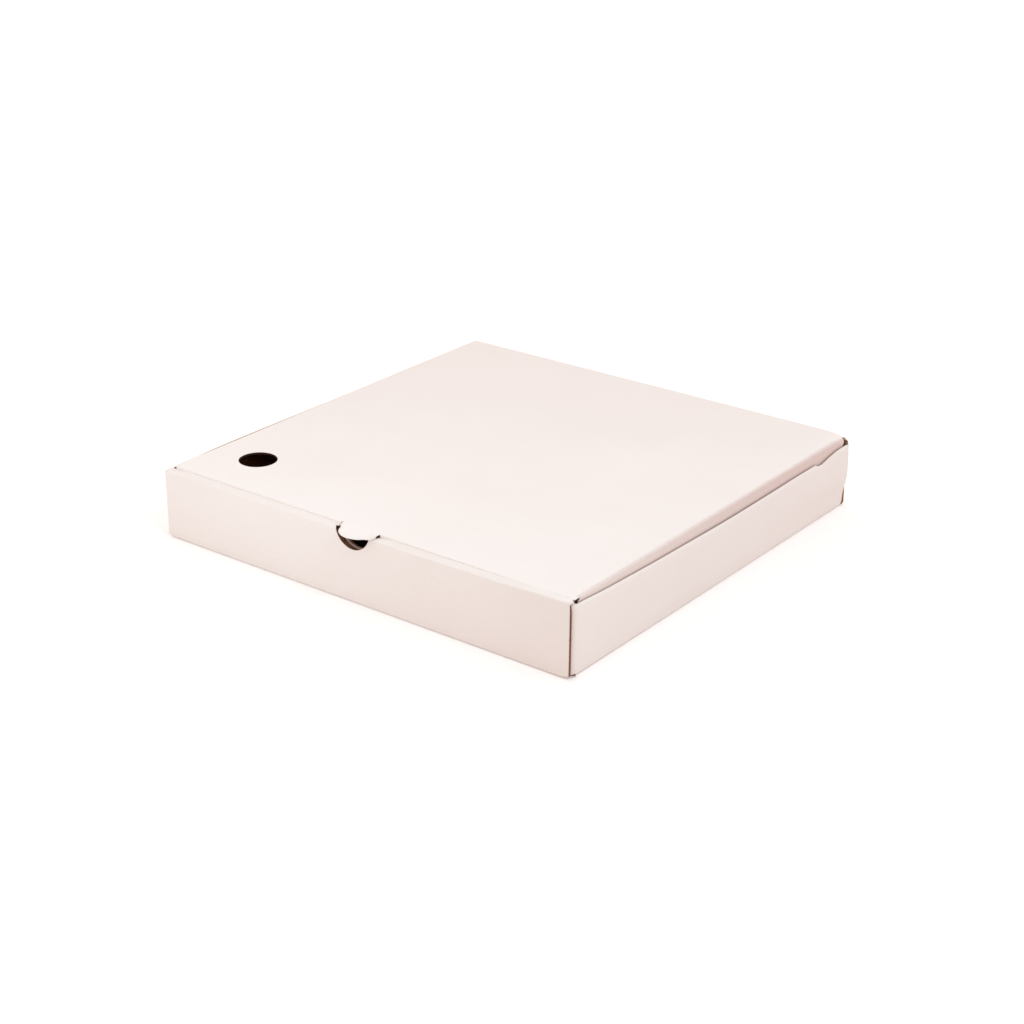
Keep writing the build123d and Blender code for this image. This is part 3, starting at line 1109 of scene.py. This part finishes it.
def strip_outline(strip, back_top):
    """Outline of the strip that makes the front wall, floor and back wall."""
    panel_half = half_width - board - inner_panel_side_gap
    foot_top = strip.place(0, board + panel_rest_gap - foot_lift)
    band_start = strip.place(0, band_underside - foot_lift)
    end_share = (hinge_end_drop - hinge_reach) / hinge_end_drop
    back_end = half_width - hinge_end_width * end_share
    outline = Outline()
    feet = []
    for middle in (-foot_spacing / 2, foot_spacing / 2):
        left, right = middle - foot_width / 2, middle + foot_width / 2
        feet += [(left, foot_top), (left, 0), (right, 0), (right, foot_top)]
    outline.walk([(-panel_half, foot_top), *feet, (panel_half, foot_top)])

    def side_places(side, clip_width, band_end, end):
        return [
            (side * panel_half, foot_top),
            (side * panel_half, band_start),
            (side * band_end, band_start),
            (side * band_end, strip.place(1, half_depth + front_inner_face - fold_radius)),
            (side * end, strip.place(2, crease_radius)),
            (side * end, strip.place(2, front_height - clip_front_height)),
            (side * (half_width - clip_width), strip.place(3, fold_radius)),
            (side * floor_half_width, strip.place(3, half_depth - front_corner_start)),
        ]

    def back_places(side):
        return [
            (side * floor_half_width, strip.place(3, half_depth + back_corner_start)),
            (side * (half_width - clip_back_size), strip.place(3, 2 * half_depth - fold_radius)),
            (side * (half_width - back_wall_low_trim), strip.place(4, clip_back_size)),
            (side * (half_width - back_wall_trim), strip.place(4, hinge_height - hinge_end_drop)),
            (side * back_end, strip.place(4, back_top)),
        ]

    right_front = side_places(
        1, clip_right_width, half_width - band_end_trim, half_width - front_wall_trim
    )
    outline.walk(right_front[:3])
    outline.walk(right_front[2:5], closed=WHITE)
    outline.walk(right_front[4:])
    outline.walk([right_front[-1], back_places(1)[0]], cut=False)
    outline.walk(back_places(1)[:-1])
    outline.walk(back_places(1)[-2:], closed=CUT)
    outline.walk([back_places(1)[-1], back_places(-1)[-1]], cut=False)
    outline.walk(back_places(-1)[::-1])
    left_front = side_places(-1, clip_left_width, half_width, half_width)
    outline.walk([back_places(-1)[0], left_front[-1]], cut=False)
    outline.walk(left_front[::-1])
    return outline


def strip_holes(strip):
    """The thumb notch through outer panel, band and inner panel, and the slots for the locking feet."""
    half_angle = asin(notch_rise / notch_radius)
    chord = notch_radius * cos(half_angle)
    centre = front_height + notch_rise

    def round_part(radius):
        return arc((notch_shift, centre), radius, 2 * pi - half_angle, pi + half_angle)

    wide_part = round_part(notch_radius + inner_notch_extra)
    inner = [(x, strip.place(0, z - foot_lift)) for x, z in reversed(wide_part)]
    outer = [(x, strip.place(2, front_height - z)) for x, z in round_part(notch_radius)]
    left, right = notch_shift - chord, notch_shift + chord
    band_inner, band_outer = strip.place(1, 0), strip.place(2, 0)
    notch = Outline()
    notch.run([np.array(p) for p in inner[:-1]])
    notch.run(straight((right, band_inner), (right, band_outer), round_step))
    notch.run([np.array(p) for p in outer[1:]])
    torn_end = [
        (left, band_outer),
        (notch_tear[0], band_outer - notch_tear[1]),
        (left, band_inner + notch_end_step),
        (left, band_inner),
    ]
    # Painted shade: the notch's torn end is drawn as one near-black face, for the dark gap behind it
    notch.walk(torn_end, closed=PAINTED_SHADE_CUT)
    holes = [notch]
    lock_middle = front_inner_face - board / 2
    near = strip.place(3, half_depth + lock_middle - board / 2 - slot_clearance)
    far = strip.place(3, half_depth + lock_middle + board / 2 + slot_clearance)
    for middle in (-foot_spacing / 2, foot_spacing / 2):
        left = middle - foot_width / 2 - slot_clearance
        right = middle + foot_width / 2 + slot_clearance
        slot = Outline()
        slot.walk([(left, near), (right, near), (right, far), (left, far), (left, near)])
        holes.append(slot)
    return holes


def on_wall(edge, sag=0):
    """Shares of the depth and drops as places along and up a side wall."""
    return [(share * 2 * half_depth, front_height - drop - sag) for share, drop in edge]


def right_wall_edge():
    """Top edge of the right wall from front to back, with its pressed nick."""
    points = smooth_line(on_wall(right_edge_front, right_edge_sag))
    nick = on_wall(right_edge_nick, right_edge_sag)
    for start, end in zip(nick, nick[1:]):
        points += straight(start, end, round_step)
    points += smooth_line(on_wall(right_edge_rear, right_edge_sag))
    points.append(np.array(on_wall(right_edge_rear, right_edge_sag)[-1]))
    return points


def left_wall_edge():
    """Top edge of the left wall from front to back."""
    return smooth_line(on_wall(left_edge)) + [np.array(on_wall(left_edge)[-1])]


def wall_outline(wall, corners, top_edge, top_at_front):
    """Outline of a side wall with a tab at each end, from the floor's edge upward."""
    def up(height):
        return wall.place(1, height)

    def tab(end, start, corner):
        tip = start + corner.length
        cut = tab_corner_cut
        places = [
            (start, 0),
            (start, up(tab_bottom)),
            (tip - cut, up(tab_bottom)),
            (tip, up(tab_bottom + cut)),
            (tip, up(tab_top - cut)),
            (tip - cut, up(tab_top)),
        ]
        return [(end * a, b) for a, b in places]

    front_tab, back_tab = (tab(*corner) for corner in corners)
    front_tab += [
        (-front_corner_start - raised_tab_length, up(top_at_front)),
        (-front_corner_start, up(top_at_front)),
    ]
    back_tab.append((back_corner_start, up(tab_top)))
    edge = [(y, up(z)) for y, z in top_edge]
    outline = Outline()
    outline.walk([(-front_corner_start, 0), (back_corner_start, 0)], cut=False)
    outline.walk([*back_tab, edge[-1]])
    outline.run([np.array(p) for p in edge[:0:-1]], dip=rolled_dip)
    outline.walk([edge[0], *front_tab[:-3:-1]], closed=WHITE)
    outline.walk(front_tab[-2::-1])
    return outline


# Lid

def on_lid(across, along, above):
    """Places given across, along (0 at the hinge) and above the lid's top face, as places of the box."""
    places = np.column_stack(
        (
            across,
            half_depth + along * cos(lid_slope) - above * sin(lid_slope),
            hinge_height + along * sin(lid_slope) + above * cos(lid_slope),
        )
    )
    places[:, 2] -= drooping(places)
    return places


def lid_blank(hinge_length):
    """Top panel with tongue and vent, tuck flap and side flaps."""
    lid = Blank("lid_board")
    plate_front = -lid_depth + crease_strip
    tuck = FoldedSection(
        [
            (plate_front, 0),
            (-lid_depth, 0),
            (-lid_depth, -tuck_upright),
            (-lid_depth + tuck_depth * sin(tuck_lean), -tuck_upright - tuck_depth * cos(tuck_lean)),
        ],
        [groove_radius, tuck_bend_radius],
    )
    flap = FoldedSection(
        [
            (-plate_half_width, 0),
            (-lid_half_width, 0),
            (
                -lid_half_width + side_flap_depth * sin(side_flap_lean),
                -side_flap_depth * cos(side_flap_lean),
            ),
        ],
        [fold_radius],
    )

    def fold_plate(a, b, share):
        crushed = growing(-b, lid_depth, crush_width) * growing(-a, -crush_end, crush_fade)
        thickness = board * (1 - tongue_crush * crushed)
        places = on_lid(a, b, -thickness * np.asarray(share, float))
        places[:, 0] += spread_ends(places, share)
        return places

    def fold_tuck(a, b, share):
        section = tuck.at(b, share)
        return on_lid(a, section[:, 0], section[:, 1])

    def fold_flap(side):
        def fold(a, b, share):
            section = flap.at(b, share)
            places = on_lid(-side * section[:, 0], a, section[:, 1])
            if side > 0:
                places[:, 0] += lean_out(places) * growing(-section[:, 1], 0, flap_follow_depth)
            return places

        return fold

    vent = Outline()
    centre = (vent_from_left - lid_half_width, vent_from_front - lid_depth)
    # Painted shade: the vent's rim is drawn as one near-black face, for the shade in the cut
    vent.run(arc(centre, vent_radius, 0, 2 * pi), closed=PAINTED_SHADE_CUT)
    corner = ((plate_half_width - droop_area[0], -droop_area[1]), (plate_half_width, -hinge_reach))
    lid.panel(
        fold_plate,
        lambda a, b: np.column_stack((a, hinge_length - b)),
        plate_outline(plate_front),
        [vent],
        dense=corner,
    )
    lid.panel(
        fold_tuck,
        lambda a, b: np.column_stack((a, hinge_length - plate_front + b)),
        tuck_outline(tuck),
        rows=tuck.rows(),
    )
    # The right flap's front cut is drawn near-black, as painted shade in the gap in front of it
    for side, top_front_gap, front_cut in (
        (1, right_flap_top_front_gap, PAINTED_SHADE_CUT),
        (-1, left_flap_top_front_gap, None),
    ):
        lid.panel(
            fold_flap(side),
            lambda a, b, side=side: np.column_stack((side * (plate_half_width + b), hinge_length - a)),
            flap_outline(flap, top_front_gap, front_cut),
            rows=flap.rows(),
            painted_shade=flap_painted_shade,
        )
    return lid


def flap_painted_shade(a, b):
    """Painted shade, pinkish like the bounce light there, along the side flaps' creases, most towards the
    back.
    """
    along = growing(a, -lid_depth, lid_depth)
    return (flap_shade_front + (1 - flap_shade_front) * along) * growing(b, 0, flap_shade_width)


def plate_outline(plate_front):
    """Outline of the lid's top panel with its half-round tongue."""
    seam_end = plate_half_width - tuck_end_gap
    front = -lid_depth
    flare = [(x, front - reach) for x, reach in tongue_flare]
    flare_angle = pi + tongue_pale_angle
    dark_angle = 2 * pi - tongue_dark_angle
    tongue_right = tongue_shift + tongue_radius
    left_front = -lid_depth + left_flap_top_front_gap
    right_front = -lid_depth + right_flap_top_front_gap
    ear = plate_half_width + right_ear_width
    outline = Outline()
    slit = front + tongue_slit
    root_left = flare[0][0]
    gap_right = tongue_right + tongue_cut_gap
    centre = (tongue_shift, front - tongue_straight)
    outline.walk([(-plate_half_width, front), (-seam_end, front)])
    outline.walk(
        [(-seam_end, front), (-seam_end, plate_front), (root_left, plate_front), (root_left, slit)],
        cut=False,
    )
    outline.walk([(root_left, slit), flare[0]], closed=WHITE)
    outline.run(smooth_line(flare, round_step), dip=wrapped_dip, closed=WHITE)
    round_start = on_circle(centre, tongue_radius, flare_angle)
    outline.walk([flare[-1], round_start], dip=wrapped_dip, closed=WHITE)
    outline.run(arc(centre, tongue_radius, flare_angle, dark_angle), dip=wrapped_dip, closed=WHITE)
    # Painted shade: the tongue's arc from here to its right root is drawn near-black, for the shade beneath
    # it
    outline.run(arc(centre, tongue_radius, dark_angle, 2 * pi), closed=PAINTED_SHADE_CUT)
    outline.walk(
        [(tongue_right, centre[1]), (tongue_right, slit), (gap_right, slit)],
        closed=PAINTED_SHADE_CUT,
    )
    outline.walk([(gap_right, slit), (gap_right, plate_front), (seam_end, plate_front)], cut=False)
    outline.walk([(seam_end, plate_front), (seam_end, front)], cut=False)
    outline.walk([(seam_end, front), (ear, front)])
    # Painted shade: the right ear's cut is drawn near-black, for the dark gap between it and the wall's top
    outline.walk([(ear, front), (ear, right_front), (plate_half_width, right_front)], closed=PAINTED_SHADE_CUT)
    flap_back = -side_flap_top_back_gap
    outline.walk([(plate_half_width, right_front), (plate_half_width, flap_back)], cut=False)
    outline.walk([(plate_half_width, flap_back), (plate_half_width, -hinge_reach)])
    outline.walk([(plate_half_width, -hinge_reach), (-plate_half_width, -hinge_reach)], cut=False)
    outline.walk([(-plate_half_width, -hinge_reach), (-plate_half_width, flap_back)])
    outline.walk([(-plate_half_width, flap_back), (-plate_half_width, left_front)], cut=False)
    outline.walk([(-plate_half_width, left_front), (-plate_half_width, front)])
    return outline


def tuck_outline(tuck):
    """Outline of the tuck flap, with the half-round opening that the tongue leaves."""
    seam_end = plate_half_width - tuck_end_gap
    crease = tuck.place(1, 0)
    sharp = tuck.place(0, 0) + crease_strip
    lower = tuck.length
    hole_radius = tongue_radius + tongue_cut_gap
    root_left = tongue_flare[0][0]
    left_centre = root_left + hole_radius
    hole_right = tongue_shift + hole_radius
    slit = crease_strip - tongue_slit
    outline = Outline()
    outline.walk([(-seam_end, 0), (root_left, 0), (root_left, slit)], cut=False)
    outline.walk([(root_left, slit), (root_left, crease)], closed=WHITE)
    outline.run(arc((left_centre, crease), hole_radius, pi, pi / 2))
    outline.walk([(left_centre, crease + hole_radius), (tongue_shift, crease + hole_radius)])
    outline.run(arc((tongue_shift, crease), hole_radius, pi / 2, 0))
    # Painted shade: the right side of the tuck's opening is drawn near-black
    outline.walk([(hole_right, crease), (hole_right, slit)], closed=PAINTED_SHADE_CUT)
    outline.walk([(hole_right, slit), (hole_right, 0), (seam_end, 0), (seam_end, sharp)], cut=False)
    outline.walk(
        [
            (seam_end, sharp),
            (seam_end, lower - tuck_corner_cut),
            (seam_end - tuck_corner_cut, lower),
            (-seam_end + tuck_corner_cut, lower),
            (-seam_end, lower - tuck_corner_cut),
            (-seam_end, sharp),
        ],
    )
    outline.walk([(-seam_end, sharp), (-seam_end, 0)], cut=False)
    return outline


def flap_outline(flap, top_front_gap, front_cut):
    """Outline of a side flap, tapered towards its free edge, with rounded corners."""
    top_front = -lid_depth + top_front_gap
    front = -lid_depth + side_flap_front_gap
    top_back = -side_flap_top_back_gap
    back = -side_flap_back_gap
    shoulder = flap.place(1, side_flap_shoulder)
    lower = flap.length
    outline = Outline()
    outline.walk([(top_front, 0), (top_back, 0)], cut=False)
    outline.walk([(top_back, 0), (back, shoulder)])
    free_edge = rounded(
        [
            (back, shoulder),
            (back - side_flap_back_taper, lower),
            (front + side_flap_front_taper, lower),
            (front, shoulder),
        ],
        side_flap_corner_radius,
    )
    outline.walk(free_edge)
    outline.walk([(front, shoulder), (top_front, 0)], closed=front_cut)
    return outline


def rounded(places, radius):
    """The places with the inner corners replaced by arcs of a radius that fits their turns."""
    places = [np.array(place, float) for place in places]
    result = [places[0]]
    for before, corner, after in zip(places, places[1:], places[2:]):
        way_in = (corner - before) / np.linalg.norm(corner - before)
        way_out = (after - corner) / np.linalg.norm(after - corner)
        turn = atan2(np.cross(way_in, way_out), way_in @ way_out)
        most = corner_share * min(np.linalg.norm(corner - before), np.linalg.norm(after - corner))
        reach = min(radius * abs(tan(turn / 2)), most)
        start, end = corner - way_in * reach, corner + way_out * reach
        for step in range(corner_steps + 1):
            t = step / corner_steps
            result.append((1 - t) ** 2 * start + 2 * t * (1 - t) * corner + t**2 * end)
    result.append(places[-1])
    return result


# Hinge: the crease at the top of the back wall, where the board bends between tray and lid

def hinge_section():
    """Side view of the crease between back wall and lid."""
    return FoldedSection(
        [
            (half_depth, hinge_height - hinge_reach),
            (half_depth, hinge_height),
            (
                half_depth - hinge_reach * cos(lid_slope),
                hinge_height - hinge_reach * sin(lid_slope),
            ),
        ],
        [fold_radius],
    )


def hinge_blank(section, back_wall_place):
    """The strip of board at the crease between back wall and lid."""
    hinge = Blank("hinge_crease")
    end_share = (hinge_end_drop - hinge_reach) / hinge_end_drop
    lower_half = half_width - hinge_end_width * end_share
    corner_half = half_width - hinge_end_width
    middle = section.place(1, 0)

    def fold(a, b, share):
        places = np.column_stack((a, section.at(b, share)))
        places[:, 0] += spread_ends(places, share)
        places[:, 2] -= drooping(places)
        return places

    right = [(lower_half, 0), (corner_half, middle), (plate_half_width, section.length)]
    left = [(-a, b) for a, b in reversed(right)]
    outline = Outline()
    outline.walk([left[-1], right[0]], cut=False)
    outline.walk(right, closed=CUT)
    outline.walk([right[-1], left[0]], cut=False)
    outline.walk(left, closed=WHITE)
    hinge.panel(fold, lambda a, b: np.column_stack((a, back_wall_place + b)), outline, (), section.rows())
    return hinge


def pizza_box():
    """The folded boards of tray and lid, and the strip between them."""
    papers = [white_liner(), kraft_liner(), cut_paper(), painted_shade_edge()]
    flutes = fluting_paper()
    fluting = fluting_tree()
    section = hinge_section()
    back_wall_place = half_depth + hinge_height - hinge_reach
    hinge_length = back_wall_place + section.length

    tray = tray_blank()
    tray_board = tray.finished(papers)
    tray_fluting = fluting_of(tray, "tray_fluting", fluting, flutes)
    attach(tray_board, "tray")
    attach(tray_fluting, "tray")
    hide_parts("tray")

    lid = lid_blank(hinge_length)
    lid_board = lid.finished(papers)
    lid_fluting = fluting_of(lid, "lid_fluting", fluting, flutes)
    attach(lid_board, "lid")
    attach(lid_fluting, "lid")
    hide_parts("lid")

    hinge = hinge_blank(section, back_wall_place)
    hinge_board = hinge.finished(papers)
    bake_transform(hinge_board)


def camera():
    """The camera at the photograph's place."""
    data = bpy.data.cameras.new("camera")
    data.lens = camera_lens
    data.sensor_width = camera_sensor
    made = bpy.data.objects.new("camera", data)
    made.location = camera_place
    made.rotation_euler = camera_angles
    bpy.context.scene.collection.objects.link(made)
    bpy.context.scene.camera = made


def lamp(name, place, target, power, tint):
    """A soft square lamp turned towards a point."""
    data = bpy.data.lights.new(name, "AREA")
    data.size = lamp_size
    data.energy = power
    data.color = tint
    made = bpy.data.objects.new(name, data)
    made.visible_camera = False
    made.location = place
    way = np.array(target, float) - np.array(place, float)
    made.rotation_euler = (atan2(sqrt(way[0] ** 2 + way[1] ** 2), -way[2]), 0, atan2(way[0], -way[1]) + pi)
    bpy.context.scene.collection.objects.link(made)


def studio():
    """White floor, soft warm light all round and two cool lamps, low in front and high at the right."""
    floor_surface()
    daylight()
    for setting in lamps:
        lamp(*setting)


def floor_surface():
    """A white floor that keeps the box's shadow and fades into the white background."""
    corners = [(-floor_reach, -floor_reach, 0), (floor_reach, -floor_reach, 0)]
    corners += [(floor_reach, floor_reach, 0), (-floor_reach, floor_reach, 0)]
    mesh = bpy.data.meshes.new("floor")
    mesh.from_pydata(corners, [], [(0, 1, 2, 3)])
    floor = bpy.data.objects.new("floor", mesh)
    floor.location.z = -floor_drop
    bpy.context.scene.collection.objects.link(floor)
    material = bpy.data.materials.new("floor")
    material.use_nodes = True
    tree = material.node_tree
    shader = tree.nodes["Principled BSDF"]
    shader.inputs["Base Color"].default_value = floor_colour
    shader.inputs["Roughness"].default_value = 1
    shader.inputs["Specular IOR Level"].default_value = 0
    place = tree.nodes.new("ShaderNodeTexCoord")
    distance = tree.nodes.new("ShaderNodeVectorMath")
    distance.operation = "LENGTH"
    tree.links.new(place.outputs["Object"], distance.inputs[0])
    fade = tree.nodes.new("ShaderNodeMapRange")
    fade.interpolation_type = "SMOOTHSTEP"
    tree.links.new(distance.outputs["Value"], fade.inputs["Value"])
    for name, number in zip(("From Min", "From Max", "To Min", "To Max"), (*floor_fade, floor_glow, 1)):
        fade.inputs[name].default_value = number
    path = tree.nodes.new("ShaderNodeLightPath")
    strength = math_node(
        tree, "ShaderNodeMath", "MULTIPLY", fade.outputs["Result"], path.outputs["Is Camera Ray"]
    )
    glow = tree.nodes.new("ShaderNodeEmission")
    tree.links.new(strength, glow.inputs["Strength"])
    both = tree.nodes.new("ShaderNodeAddShader")
    tree.links.new(shader.outputs[0], both.inputs[0])
    tree.links.new(glow.outputs[0], both.inputs[1])
    tree.links.new(both.outputs[0], tree.nodes["Material Output"].inputs["Surface"])
    mesh.materials.append(material)


def daylight():
    """Even white light from all round, a little warmer near the horizon, on a white background."""
    world = bpy.data.worlds.new("studio")
    world.use_nodes = True
    bpy.context.scene.world = world
    tree = world.node_tree
    light = tree.nodes["Background"]
    place = tree.nodes.new("ShaderNodeTexCoord")
    axes = new_node(tree, "ShaderNodeSeparateXYZ", Vector=place.outputs["Generated"])
    total = sky_light
    for axis, slope in zip("XYZ", sky_slopes):
        part = scaled(tree, slope, axes.outputs[axis])
        total = math_node(tree, "ShaderNodeVectorMath", "ADD", part, total)
    tree.links.new(total, light.inputs["Color"])
    light.inputs["Strength"].default_value = 1
    plain = tree.nodes.new("ShaderNodeBackground")
    plain.inputs["Color"].default_value = (1, 1, 1, 1)
    plain.inputs["Strength"].default_value = 1
    path = tree.nodes.new("ShaderNodeLightPath")
    either = tree.nodes.new("ShaderNodeMixShader")
    tree.links.new(path.outputs["Is Camera Ray"], either.inputs[0])
    tree.links.new(light.outputs[0], either.inputs[1])
    tree.links.new(plain.outputs[0], either.inputs[2])
    tree.links.new(either.outputs[0], tree.nodes["World Output"].inputs["Surface"])


pizza_box()
camera()
studio()
bpy.context.scene.view_settings.view_transform = "Standard"
